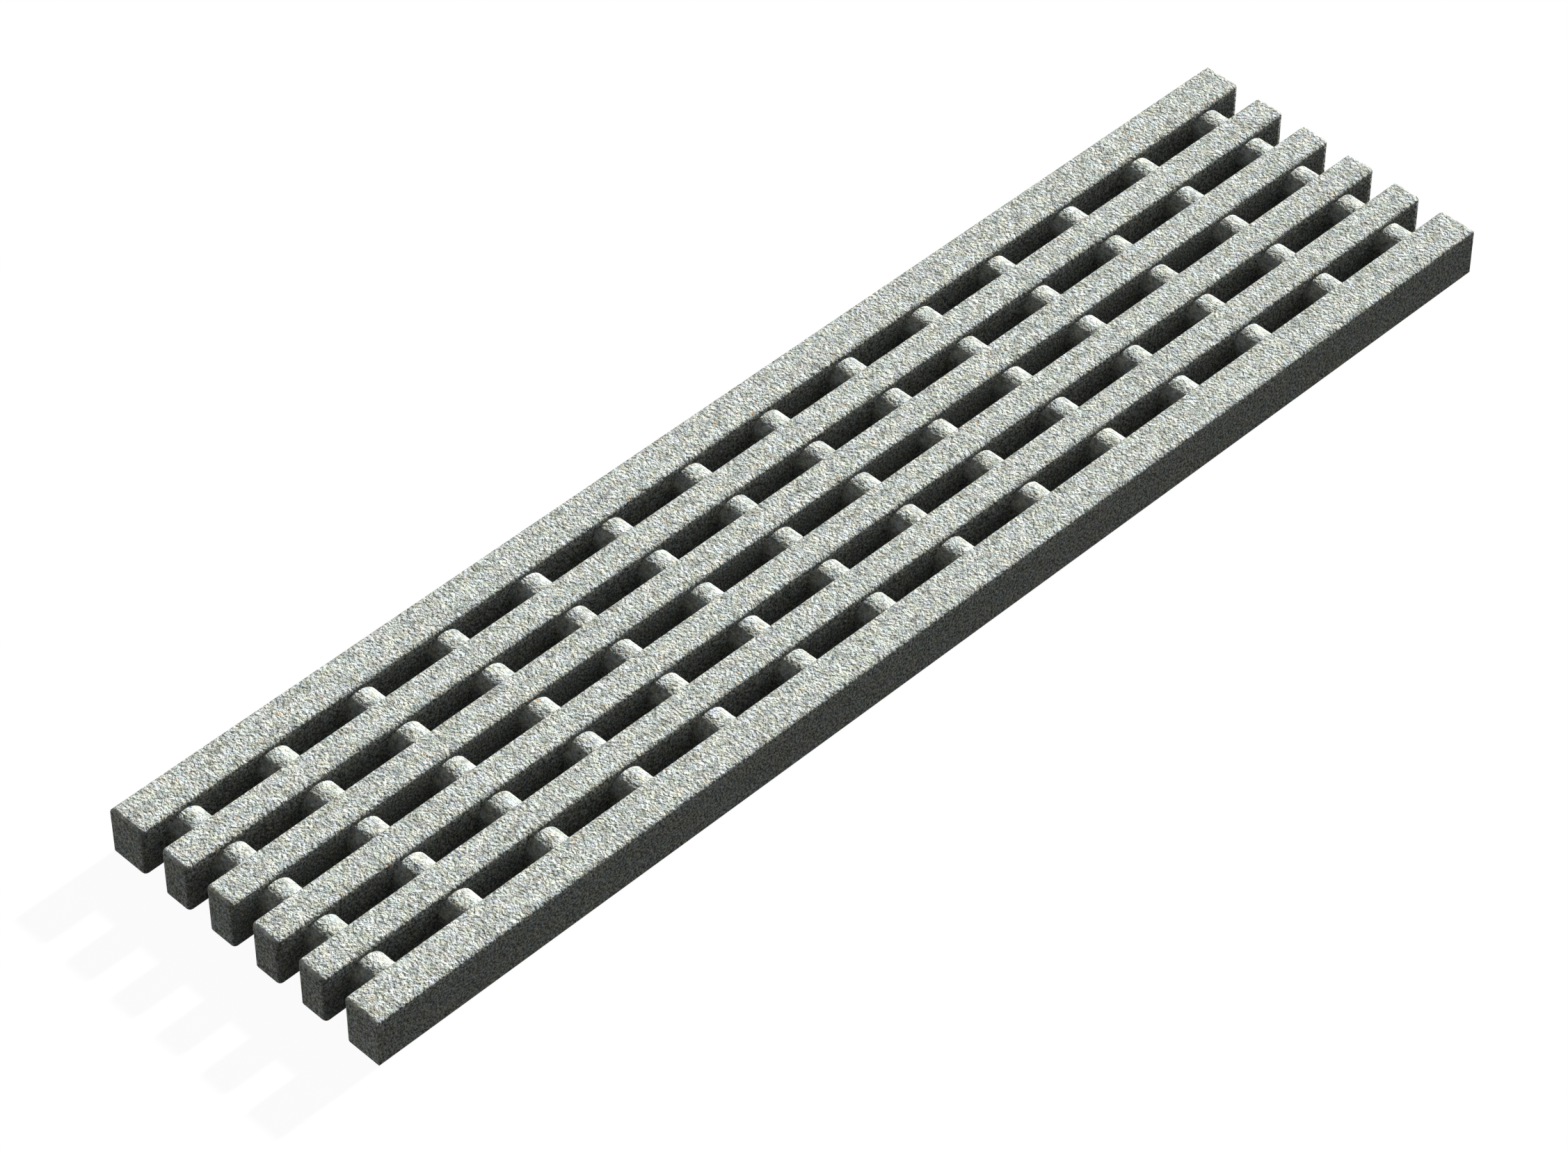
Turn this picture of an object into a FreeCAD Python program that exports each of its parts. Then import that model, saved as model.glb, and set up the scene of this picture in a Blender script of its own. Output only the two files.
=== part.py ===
import FreeCAD, Part
import os
from FreeCAD import Vector

os.makedirs("parts", exist_ok=True)

# The casting as a whole, in mm. It lies flat with its underside on z = 0,
# its length along X and its width along Y, centred on the origin.
length = 508.0
height = 19.6

# Bars run the whole length with open slots between them.
# The two outer bars are wider, because they rest on the ledges of the channel.
outer_bar_width = 14.75
inner_bar_width = 11.7
slot_width = 9.5
slot_rows = 5

# Cross ribs tie the bars together at an even pitch, from a short run in at each end.
# Their half-round tops stay below the walking surface, so water runs along the slots.
rib_count = 14
rib_width = 15.2
rib_drop = 2.8
end_run = 17.4

# Rounding of the bars: round their tops, and on their upright edges beside the slot mouths.
edge_radius = 1.4

width = 2 * outer_bar_width + (slot_rows - 1) * inner_bar_width + slot_rows * slot_width
rib_pitch = (length - 2 * end_run) / (rib_count - 1)
rib_radius = rib_width / 2
rib_crest = height - rib_drop
rib_spring = rib_crest - rib_radius
rib_reach = width - outer_bar_width


def bar(near_side, bar_width, slot_sides):
    """One bar, with its top edges and its upright edges on the slot sides rounded."""
    blank = Part.makeBox(length, bar_width, height, Vector(-length / 2, near_side, 0))
    rounded = []
    for edge in blank.Edges:
        ends = [vertex.Z for vertex in edge.Vertexes]
        on_top = min(ends) > height / 2
        upright = max(ends) - min(ends) > height / 2
        beside_slot = any(abs(edge.CenterOfMass.y - side) < bar_width / 2 for side in slot_sides)
        if on_top or (upright and beside_slot):
            rounded.append(edge)
    return blank.makeFillet(edge_radius, rounded)


def rib(centre):
    """One cross rib: upright flanks and a half-round top, run from outer bar to outer bar."""
    start = -rib_reach / 2
    foot_left = Vector(centre - rib_radius, start, 0)
    foot_right = Vector(centre + rib_radius, start, 0)
    spring_left = Vector(centre - rib_radius, start, rib_spring)
    spring_right = Vector(centre + rib_radius, start, rib_spring)
    crest = Vector(centre, start, rib_crest)
    outline = Part.Wire([
        Part.makeLine(foot_left, foot_right),
        Part.makeLine(foot_right, spring_right),
        Part.Arc(spring_right, crest, spring_left).toShape(),
        Part.makeLine(spring_left, foot_left),
    ])
    return Part.Face(outline).extrude(Vector(0, rib_reach, 0))


bars = []
near_side = -width / 2
for row in range(slot_rows + 1):
    outermost = row in (0, slot_rows)
    bar_width = outer_bar_width if outermost else inner_bar_width
    far_side = near_side + bar_width
    slot_sides = []
    if row > 0:
        slot_sides.append(near_side)
    if row < slot_rows:
        slot_sides.append(far_side)
    bars.append(bar(near_side, bar_width, slot_sides))
    near_side = far_side + slot_width

ribs = []
for place in range(rib_count):
    ribs.append(rib(end_run + place * rib_pitch - length / 2))

grate = bars[0].multiFuse(bars[1:] + ribs).removeSplitter()
grate.Solids[0].exportStep("parts/grate.step")
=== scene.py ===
import math
import bmesh
import bpy
import numpy as np
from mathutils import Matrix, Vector, noise


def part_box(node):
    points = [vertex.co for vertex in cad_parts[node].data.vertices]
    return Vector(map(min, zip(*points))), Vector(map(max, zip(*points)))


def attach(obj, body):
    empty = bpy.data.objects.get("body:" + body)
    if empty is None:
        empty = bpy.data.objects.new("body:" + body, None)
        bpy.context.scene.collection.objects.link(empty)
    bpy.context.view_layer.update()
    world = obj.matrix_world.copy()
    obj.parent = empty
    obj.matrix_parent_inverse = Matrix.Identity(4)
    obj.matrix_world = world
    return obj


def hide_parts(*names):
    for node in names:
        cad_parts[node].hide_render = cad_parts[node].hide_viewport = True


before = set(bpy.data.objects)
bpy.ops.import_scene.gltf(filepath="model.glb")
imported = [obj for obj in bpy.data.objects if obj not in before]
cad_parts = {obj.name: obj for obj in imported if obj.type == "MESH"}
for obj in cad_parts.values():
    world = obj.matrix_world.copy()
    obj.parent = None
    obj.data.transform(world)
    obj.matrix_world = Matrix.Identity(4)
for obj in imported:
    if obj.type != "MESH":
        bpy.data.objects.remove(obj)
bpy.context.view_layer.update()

# The grate is one moulding in cast stone: six bars, tied by fourteen lower cross ribs.
# Crushed stone in a binder was poured into a mould, and then blasted with grit, which bared the grain
# and softened the edges. Nothing is fixed to it: it lies loose on the two ledges of a channel.
mm = 0.001
low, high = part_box("grate")
length, width, height = high - low
slot_rows = 5
outer_bar_width = 14.75 * mm
inner_bar_width = 11.7 * mm
slot_width = (width - 2 * outer_bar_width - (slot_rows - 1) * inner_bar_width) / slot_rows
rib_count = 14
rib_radius = 7.6 * mm
rib_drop = 2.8 * mm
end_run = 17.4 * mm
edge_radius = 1.4 * mm
shoulder = height - edge_radius
end_shoulder = length / 2 - edge_radius
rib_spring = height - rib_drop - rib_radius
rib_centres = np.linspace(end_run - length / 2, length / 2 - end_run, rib_count)


def even(start, end, step):
    """Places from start to end, evenly spread and about one step apart."""
    return np.linspace(start, end, max(1, round((end - start) / step)) + 1)


# The skin is laid in patches of four-sided facets. On the tops they are about as wide as one grain.
skin_step = 1.15 * mm
edge_facets = 3
rib_facets = 18
outer_wall_facets = 4
upper_wall_facets = 3
lower_wall_facets = 2
weld = 0.02 * mm
same_place_digits = 9
points = []
faces = []


def lay_patch(x, y, z):
    """Adds a four-sided patch of the skin. The arrays spread over its two directions."""
    grid = np.stack(np.broadcast_arrays(x, y, z), axis=-1)
    rows, columns = grid.shape[:2]
    corner = np.arange(rows * columns).reshape(rows, columns) + len(points)
    points.extend(grid.reshape(-1, 3).tolist())
    quads = np.stack([corner[:-1, :-1], corner[1:, :-1], corner[1:, 1:], corner[:-1, 1:]], axis=-1)
    faces.extend(quads.reshape(-1, 4).tolist())


def lay_end(outline):
    """Closes a bar's end with one flat face round its outline."""
    faces.append(list(range(len(points), len(points) + len(outline))))
    points.extend(outline)


# Stations along X: the rounded ends, the ribs, closer together on their steep flanks, and the bays.
turn = np.linspace(0, math.pi / 2, edge_facets + 1)
rounded_end = length / 2 - edge_radius * (1 - np.sin(turn))
over_rib = np.linspace(-1, 1, rib_facets + 1)
rib_stations = rib_radius * (over_rib + np.sin(over_rib * math.pi / 2)) / 2
bay_starts = np.array([-length / 2, *(rib_centres + rib_radius)])
bay_ends = np.array([*(rib_centres - rib_radius), length / 2])
stations = [rounded_end, -rounded_end]
for centre in rib_centres:
    stations.append(centre + rib_stations)
for start, end in zip(bay_starts, bay_ends):
    stations.append(even(max(start, -end_shoulder), min(end, end_shoulder), skin_step))
x = np.unique(np.round(np.concatenate(stations), same_place_digits))

# How far the rounding stands out at each station, and how high the slot walls start over the ribs.
into_end = np.maximum(np.abs(x) - end_shoulder, 0)
reach = np.sqrt(np.maximum(edge_radius ** 2 - into_end ** 2, 0))
from_rib = np.abs(x[:, None] - rib_centres).min(axis=1)
sill = rib_spring + np.sqrt(np.maximum(rib_radius ** 2 - from_rib ** 2, 0))
low_up = np.linspace(0, rib_spring, lower_wall_facets + 1)


def lay_wall(y, beside_slot):
    """One side of a bar, from the underside to the shoulder, open where the ribs run into it."""
    if not beside_slot:
        up = np.linspace(0, shoulder, outer_wall_facets + 1)
        lay_patch(x[:, None], y[:, None], up)
        return list(up)
    share = np.linspace(0, 1, upper_wall_facets + 1)
    lay_patch(x[:, None], y[:, None], sill[:, None] + share * (shoulder - sill[:, None]))
    for start, end in zip(bay_starts, bay_ends):
        bay = (x > start - weld) & (x < end + weld)
        lay_patch(x[bay, None], y[bay, None], low_up)
    return [*low_up, *(rib_spring + share[1:] * (shoulder - rib_spring))]


def lay_bar(near, far, slot_near, slot_far):
    """One bar: its top with rounded edges, its two sides, its underside and its ends."""
    near_reach = reach if slot_near else np.full_like(x, edge_radius)
    far_reach = reach if slot_far else np.full_like(x, edge_radius)
    flat = even(near + edge_radius, far - edge_radius, skin_step)[1:-1]
    core = np.concatenate([np.full_like(turn, near + edge_radius), flat,
                           np.full_like(turn, far - edge_radius)])
    lean = np.concatenate([-np.cos(turn), 0 * flat, np.cos(turn)[::-1]])
    rise = np.concatenate([np.sin(turn), 0 * flat + 1, np.sin(turn)[::-1]])
    side_reach = np.where(lean < 0, near_reach[:, None], far_reach[:, None])
    top_y = core + lean * side_reach
    top_z = shoulder + np.minimum(rise * side_reach, reach[:, None])
    lay_patch(x[:, None], top_y, top_z)
    near_y = near + edge_radius - near_reach
    far_y = far - edge_radius + far_reach
    near_up = lay_wall(near_y, slot_near)
    far_up = lay_wall(far_y, slot_far)
    lay_patch(x[:, None], np.stack([near_y, far_y], axis=1), 0.0)
    for end in (0, -1):
        outline = [(x[end], near_y[end], z) for z in near_up[:-1]]
        outline += [(x[end], y, shoulder) for y in np.unique(np.round(top_y[end], same_place_digits))]
        outline += [(x[end], far_y[end], z) for z in far_up[-2::-1]]
        lay_end(outline)


def lay_ribs(near, far):
    """The ribs across one slot: half-round tops, upright flanks and flat undersides."""
    across = even(near, far, skin_step)
    for centre in rib_centres:
        on_rib = (x > centre - rib_radius - weld) & (x < centre + rib_radius + weld)
        lay_patch(x[on_rib, None], across, sill[on_rib, None])
        lay_patch(x[on_rib, None], across, 0.0)
        for flank in (x[on_rib][0], x[on_rib][-1]):
            lay_patch(flank, across[:, None], low_up)


near = -width / 2
for row in range(slot_rows + 1):
    far = near + (outer_bar_width if row in (0, slot_rows) else inner_bar_width)
    lay_bar(near, far, row > 0, row < slot_rows)
    if row < slot_rows:
        lay_ribs(far, far + slot_width)
    near = far + slot_width

grate_mesh = bpy.data.meshes.new("grate_casting")
grate_mesh.from_pydata(points, [], faces)
skin = bmesh.new()
skin.from_mesh(grate_mesh)
bmesh.ops.remove_doubles(skin, verts=skin.verts, dist=weld)
bmesh.ops.recalc_face_normals(skin, faces=skin.faces)
skin.normal_update()

# The bared grain stands up on the tops, the rounded edges, the ribs and the ends. It fades out on the long
# sides and towards the underside, and edges sharper than the crease angle stay crisp.
grain_width = 1.5 * mm
grain_height = 0.06 * mm
side_fade = 3
crease_angle = math.radians(55)
for corner in skin.verts:
    off_sides = 1 - abs(corner.normal.y) ** side_fade
    clear_of_floor = min(1, corner.co.z / rib_spring)
    grain = noise.noise(corner.co / grain_width)
    corner.co += corner.normal * (grain_height * grain * off_sides * clear_of_floor)
skin.to_mesh(grate_mesh)
skin.free()
grate_mesh.shade_smooth()
grate_mesh.set_sharp_from_angle(angle=crease_angle)


def linear(code):
    """An sRGB hex colour as linear RGBA."""
    shares = [int(code[i:i + 2], 16) / 255 for i in (1, 3, 5)]
    return [*(s / 12.92 if s <= 0.04045 else ((s + 0.055) / 1.055) ** 2.4 for s in shares), 1.0]


def add_node(tree, kind, settings=None, inputs=None):
    """Adds one node with its settings. An input is a value, or the output it is linked to."""
    node = tree.nodes.new(kind)
    for name, value in (settings or {}).items():
        setattr(node, name, value)
    for socket, value in (inputs or {}).items():
        if isinstance(value, bpy.types.NodeSocket):
            tree.links.new(value, node.inputs[socket])
        else:
            node.inputs[socket].default_value = value
    return node


def add_ramp(tree, share, start, first, end, last):
    """Adds a ramp from one sRGB colour to another, as the share goes from start to end."""
    ramp = add_node(tree, "ShaderNodeValToRGB", {}, {"Fac": share})
    for element, position, code in zip(ramp.color_ramp.elements, (start, end), (first, last)):
        element.position = position
        element.color = linear(code)
    return ramp.outputs["Color"]


def add_mix(tree, blend, factor, under, over):
    """Adds a mix of two colours. Its sockets go by number, as several of them share a name."""
    factor_in, under_in, over_in, colour_out = 0, 6, 7, 2
    mix = add_node(tree, "ShaderNodeMix", {"data_type": "RGBA", "blend_type": blend}, {
        factor_in: factor, under_in: under, over_in: over})
    return mix.outputs[colour_out]


# Cast stone with its grain bared by blasting: matt, and rough as coarse sandpaper.
# The eye gets a pale grey of lighter and darker, cool, greenish and warm grains, with shade in the hollows
# between them, and here and there a grain that is tan, orange, blue or black.
stone = bpy.data.materials.new("cast_stone_blasted")
stone.use_nodes = True
tree = stone.node_tree
shader = tree.nodes["Principled BSDF"]
place = add_node(tree, "ShaderNodeTexCoord").outputs["Object"]

# Light and dark grains, from clusters of them down to a quarter of a millimetre.
cluster_size = 4.0 * mm
grains = add_node(tree, "ShaderNodeTexNoise", {}, {
    "Vector": place, "Scale": 1 / cluster_size, "Detail": 4.0, "Roughness": 1.0})
tones = add_ramp(tree, grains.outputs["Fac"], 0.345, "#828280", 0.655, "#F2F2F3")

# The upright faces keep the skin of the mould, where the grains are finer. Their tones are also drawn
# darker as a whole, and that darkening is painted shade, which keeps the sides dark next to the lit tops.
# They are told from the tops by how much their normals point up or down.
skin_grain_size = 0.95 * mm
top_from = 0.6
upright_to = 0.1
skin_grains = add_node(tree, "ShaderNodeTexNoise", {}, {
    "Vector": place, "Scale": 1 / skin_grain_size, "Detail": 2.0, "Roughness": 1.0})
# This ramp sits lower than the tops' ramp. Its finer grain is the skin's own, and its lower level is
# painted shade.
skin_tones_with_painted_shade = add_ramp(tree, skin_grains.outputs["Fac"], 0.41, "#595958", 0.59, "#D1D1D1")
facing = add_node(tree, "ShaderNodeSeparateXYZ", {}, {
    "Vector": add_node(tree, "ShaderNodeNewGeometry").outputs["Normal"]})
up_or_down = add_node(tree, "ShaderNodeMath", {"operation": "ABSOLUTE"}, {0: facing.outputs["Z"]})
upright_skin_and_painted_shade = add_node(tree, "ShaderNodeMapRange", {"interpolation_type": "SMOOTHSTEP"}, {
    "Value": up_or_down.outputs["Value"], "From Min": top_from, "From Max": upright_to})
colour = add_mix(tree, "MIX", upright_skin_and_painted_shade.outputs["Result"], tones, skin_tones_with_painted_shade)

# Cool and tan grains, and greenish and neutral ones, each pair in a pattern of its own.
hue_pattern_start = (0.3, 0.7, 0.5)
aside = add_node(tree, "ShaderNodeVectorMath", {"operation": "ADD"}, {0: place, 1: hue_pattern_start})
hues = add_node(tree, "ShaderNodeTexNoise", {}, {
    "Vector": aside.outputs["Vector"], "Scale": 1 / cluster_size, "Detail": 4.0, "Roughness": 0.9})
hue_draw = add_node(tree, "ShaderNodeSeparateColor", {}, {"Color": hues.outputs["Color"]})
for channel, one_hue, other_hue in (("Red", "#F6FCFF", "#FFFDED"), ("Green", "#F7FFF9", "#FFFFFF")):
    tints = add_ramp(tree, hue_draw.outputs[channel], 0.43, one_hue, 0.57, other_hue)
    colour = add_mix(tree, "MULTIPLY", 1.0, colour, tints)

# Single grains of other minerals: each kind takes its share of the cells, and fills the middle of them.
# The orange ones are the strongest of the tan ones.
speck_size = 1.3 * mm
speck_edge = 0.5
speck_core = 0.25
minerals = (("Red", 0.015, "#D9C4A4"), ("Red", 0.0025, "#D0A276"),
            ("Green", 0.0007, "#5F74A6"), ("Blue", 0.0013, "#62645E"))
cells = add_node(tree, "ShaderNodeTexVoronoi", {}, {"Vector": place, "Scale": 1 / speck_size})
cell_draw = add_node(tree, "ShaderNodeSeparateColor", {}, {"Color": cells.outputs["Color"]})
middle = add_node(tree, "ShaderNodeMapRange", {"interpolation_type": "SMOOTHSTEP"}, {
    "Value": cells.outputs["Distance"], "From Min": speck_edge, "From Max": speck_core})
for channel, share, mineral in minerals:
    chosen = add_node(tree, "ShaderNodeMath", {"operation": "GREATER_THAN"}, {
        0: cell_draw.outputs[channel], 1: 1 - share})
    speck = add_node(tree, "ShaderNodeMath", {"operation": "MULTIPLY"}, {
        0: chosen.outputs["Value"], 1: middle.outputs["Result"]})
    colour = add_mix(tree, "MIX", speck.outputs["Value"], colour, linear(mineral))

# The relief of the bared grain, down to the fine tooth that the grit left on it.
# It is drawn deeper than such grain stands, so that it shows from as far away as the camera.
relief_size = 1.15 * mm
relief_depth = 1.05 * mm
relief = add_node(tree, "ShaderNodeTexNoise", {}, {
    "Vector": place, "Scale": 1 / relief_size, "Detail": 2.0, "Roughness": 0.5})
grain_bump = add_node(tree, "ShaderNodeBump", {}, {
    "Height": relief.outputs["Fac"], "Distance": relief_depth, "Strength": 1.0})
tree.links.new(colour, shader.inputs["Base Color"])
tree.links.new(grain_bump.outputs["Normal"], shader.inputs["Normal"])
shader.inputs["Metallic"].default_value = 0.0
shader.inputs["Roughness"].default_value = 0.9
shader.inputs["Specular IOR Level"].default_value = 0.15

grate_mesh.materials.append(stone)
grate = bpy.data.objects.new("grate_casting", grate_mesh)
bpy.context.scene.collection.objects.link(grate)
flat_faces = grate.modifiers.new("flat_faces_stay_flat", "WEIGHTED_NORMAL")
flat_faces.keep_sharp = True
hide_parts("grate")
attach(grate, "root")

# The floor is a sheet of white studio paper, laid flat and wider than the view.
# The camera and reflections see it white, with the grate's soft shadow. It lies a hair below the grate,
# so that the paper and the underside don't share one plane.
floor_half = 4.0
floor_gap = 0.05 * mm
glow_share = 0.95
floor_level = low.z - floor_gap


def seen_by_eye(tree):
    """An output that is 1 for what the camera sees, straight, mirrored or through glass, and else 0."""
    path = add_node(tree, "ShaderNodeLightPath")
    straight_or_mirrored = add_node(tree, "ShaderNodeMath", {"operation": "MAXIMUM"}, {
        0: path.outputs["Is Camera Ray"], 1: path.outputs["Is Glossy Ray"]})
    seen = add_node(tree, "ShaderNodeMath", {"operation": "MAXIMUM"}, {
        0: straight_or_mirrored.outputs["Value"], 1: path.outputs["Is Transmission Ray"]})
    return seen.outputs["Value"]


paper = bpy.data.materials.new("white_studio_paper")
paper.use_nodes = True
tree = paper.node_tree
tree.nodes.remove(tree.nodes["Principled BSDF"])
matt = add_node(tree, "ShaderNodeBsdfDiffuse", {}, {"Color": linear("#FFFFFF")})
glow = add_node(tree, "ShaderNodeEmission", {}, {"Color": linear("#FFFFFF"), "Strength": 1.0})
white = add_node(tree, "ShaderNodeMixShader", {}, {
    0: glow_share, 1: matt.outputs["BSDF"], 2: glow.outputs["Emission"]})
dim = add_node(tree, "ShaderNodeBsdfDiffuse", {}, {"Color": linear("#404040")})
choice = add_node(tree, "ShaderNodeMixShader", {}, {
    0: seen_by_eye(tree), 1: dim.outputs["BSDF"], 2: white.outputs["Shader"]})
tree.links.new(choice.outputs["Shader"], tree.nodes["Material Output"].inputs["Surface"])
floor_mesh = bpy.data.meshes.new("floor")
floor_mesh.from_pydata(
    [(-floor_half, -floor_half, floor_level), (floor_half, -floor_half, floor_level),
     (floor_half, floor_half, floor_level), (-floor_half, floor_half, floor_level)], [], [(0, 1, 2, 3)])
floor_mesh.materials.append(paper)
floor = bpy.data.objects.new("floor", floor_mesh)
bpy.context.scene.collection.objects.link(floor)

# The room is white where the camera and reflections look past the floor. What it lights gets a low fill,
# weaker from above, and weakest from the end that is away from the key light.
wall_fill = 0.345
ceiling_fill = 0.16
far_end_share = 0.15
room = bpy.data.worlds.new("studio_room")
bpy.context.scene.world = room
room.use_nodes = True
tree = room.node_tree
direction = add_node(tree, "ShaderNodeTexCoord").outputs["Generated"]
bearing = add_node(tree, "ShaderNodeSeparateXYZ", {}, {"Vector": direction})
by_height = add_node(tree, "ShaderNodeMapRange", {}, {
    "Value": bearing.outputs["Z"], "To Min": wall_fill, "To Max": ceiling_fill})
by_end = add_node(tree, "ShaderNodeMapRange", {}, {
    "Value": bearing.outputs["X"], "From Min": -1.0, "From Max": 0.0, "To Min": far_end_share})
strength = add_node(tree, "ShaderNodeMath", {"operation": "MULTIPLY"}, {
    0: by_height.outputs["Result"], 1: by_end.outputs["Result"]})
fill = add_node(tree, "ShaderNodeBackground", {}, {
    "Color": linear("#FFFFFF"), "Strength": strength.outputs["Value"]})
backdrop = add_node(tree, "ShaderNodeBackground", {}, {"Color": linear("#FFFFFF"), "Strength": 1.0})
choice = add_node(tree, "ShaderNodeMixShader", {}, {
    0: seen_by_eye(tree), 1: fill.outputs["Background"], 2: backdrop.outputs["Background"]})
tree.links.new(choice.outputs["Shader"], tree.nodes["World Output"].inputs["Surface"])

# The key light is a far soft box in line with the bars, so it rakes along the slots.
key_azimuth = 0.3
key_elevation = 25.0
key_spread = 2
key_energy = 6.66


def hang_lamp(name, azimuth, elevation, spread, energy):
    """Hangs a far lamp by its bearing from +X and its height, in degrees. Its light doesn't bounce."""
    lamp_data = bpy.data.lights.new(name, "SUN")
    lamp_data.angle = math.radians(spread)
    lamp_data.energy = energy
    lamp_data.cycles.max_bounces = 0
    lamp = bpy.data.objects.new(name, lamp_data)
    around = math.radians(azimuth)
    above = math.radians(elevation)
    towards = Vector((math.cos(above) * math.cos(around),
                      math.cos(above) * math.sin(around), math.sin(above)))
    lamp.location = towards
    lamp.rotation_euler = towards.to_track_quat("Z", "Y").to_euler()
    bpy.context.scene.collection.objects.link(lamp)


hang_lamp("key_soft_box", key_azimuth, key_elevation, key_spread, key_energy)

# A weak second lamp stands low behind the far corner, and lifts the ends of the bars a little above
# their near sides. The bars themselves keep it out of the slots.
end_fill_azimuth = 135
end_fill_elevation = 2
end_fill_spread = 4
end_fill_energy = 0.46
hang_lamp("end_fill", end_fill_azimuth, end_fill_elevation, end_fill_spread, end_fill_energy)

# The camera stands off the near left corner, as far and as high as the picture's own lines say.
eye = Vector((-945.97, -932.19, 1320.78)) * mm
aim = Vector((-19.26, 0.62, 0)) * mm
camera_data = bpy.data.cameras.new("camera")
camera_data.sensor_width = 36.0
camera_data.lens = 130.2
camera = bpy.data.objects.new("camera", camera_data)
camera.location = eye
camera.rotation_euler = (aim - eye).to_track_quat("-Z", "Y").to_euler()
bpy.context.scene.collection.objects.link(camera)
bpy.context.scene.camera = camera
bpy.context.scene.view_settings.view_transform = "Standard"
